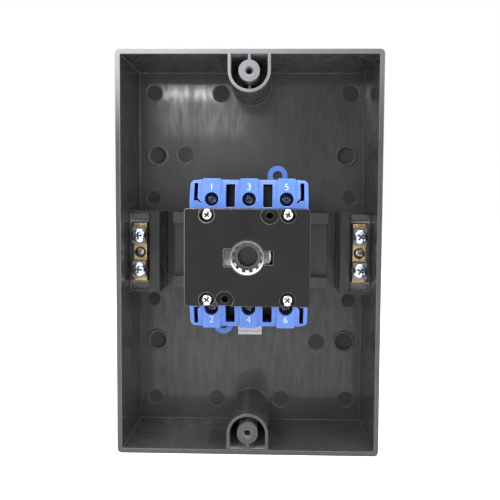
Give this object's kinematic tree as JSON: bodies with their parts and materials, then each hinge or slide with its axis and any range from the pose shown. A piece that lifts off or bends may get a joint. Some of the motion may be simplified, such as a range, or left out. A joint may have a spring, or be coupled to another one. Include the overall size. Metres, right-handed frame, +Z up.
{
  "type": "enclosed isolator switch",
  "caption": "Three-pole rotary isolator clipped on a rail inside an open-fronted deep black enclosure base, with brass terminal bars at the sides.",
  "frame": {"origin": "centre of the flat back face of the enclosure base, on the wall", "axes": "+X right, +Z up the long side, +Y into the wall; the open front and the switch face -Y"},
  "size_m": [0.1124, 0.0586, 0.1722],
  "materials": {
    "enclosure_plastic": "polished moulded black",
    "rail_steel": "black finished steel",
    "plated_steel": "bright zinc plating",
    "bar_brass": "drawn brass",
    "body_plastic": "moulded blue, semi-gloss",
    "housing_plastic": "moulded black, semi-gloss",
    "nickel_screws": "bright nickel plating",
    "bridge_steel": "plain spring steel",
    "rotor_plastic": "moulded grey",
    "carriage_plastic": "moulded cream",
    "contact_copper": "bare copper alloy",
    "latch_plastic": "moulded white"
  },
  "bodies": {
    "enclosure": {"base": "enclosure_plastic", "mounting_rail": "rail_steel", "rail_screws": "plated_steel", "terminal_bar_left": "bar_brass", "terminal_bar_right": "bar_brass", "bar_fixing_screws": "plated_steel", "clamp_screws": "plated_steel", "clamp_washers": "plated_steel", "switch_base": "body_plastic", "switch_housing": "housing_plastic", "housing_screws": "nickel_screws", "bearing_bridge": "bridge_steel", "detent_spring_upper": "bridge_steel", "detent_spring_lower": "bridge_steel", "line_contact_1": "contact_copper", "line_contact_2": "contact_copper", "line_contact_3": "contact_copper", "load_contact_1": "contact_copper", "load_contact_2": "contact_copper", "load_contact_3": "contact_copper", "line_clamp_1": "plated_steel", "line_clamp_2": "plated_steel", "line_clamp_3": "plated_steel", "load_clamp_1": "plated_steel", "load_clamp_2": "plated_steel", "load_clamp_3": "plated_steel", "line_screws": "plated_steel", "load_screws": "plated_steel", "latch_spring": "bridge_steel"},
    "turning_rotor": {"rotor": "rotor_plastic"},
    "moving_contacts": {"contact_carriage": "carriage_plastic", "bridge_contact_1": "contact_copper", "bridge_contact_2": "contact_copper", "bridge_contact_3": "contact_copper", "contact_spring_1": "bridge_steel", "contact_spring_2": "bridge_steel", "contact_spring_3": "bridge_steel"},
    "latch": {"rail_latch": "latch_plastic"}
  },
  "joints": [
    {"name": "rotor_turn", "type": "hinge", "parent": "enclosure", "child": "turning_rotor", "pos_m": [0, -0.05, 0], "axis": [0, 1, 0], "range_deg": [0, 90], "deforming": ["detent_spring_upper", "detent_spring_lower"]},
    {"name": "carriage_slide", "type": "slide", "parent": "enclosure", "child": "moving_contacts", "axis": [1, 0, 0], "range_m": [0, 0.0064]},
    {"name": "latch_slide", "type": "slide", "parent": "enclosure", "child": "latch", "axis": [0, 0, -1], "range_m": [0, 0.003], "stiffness_N_per_m": 200, "springref_m": -0.003, "deforming": ["latch_spring"]}
  ],
  "couplings": [
    {"joint": "rotor_turn", "follows": "carriage_slide", "rad_per_m": 245.43}
  ]
}
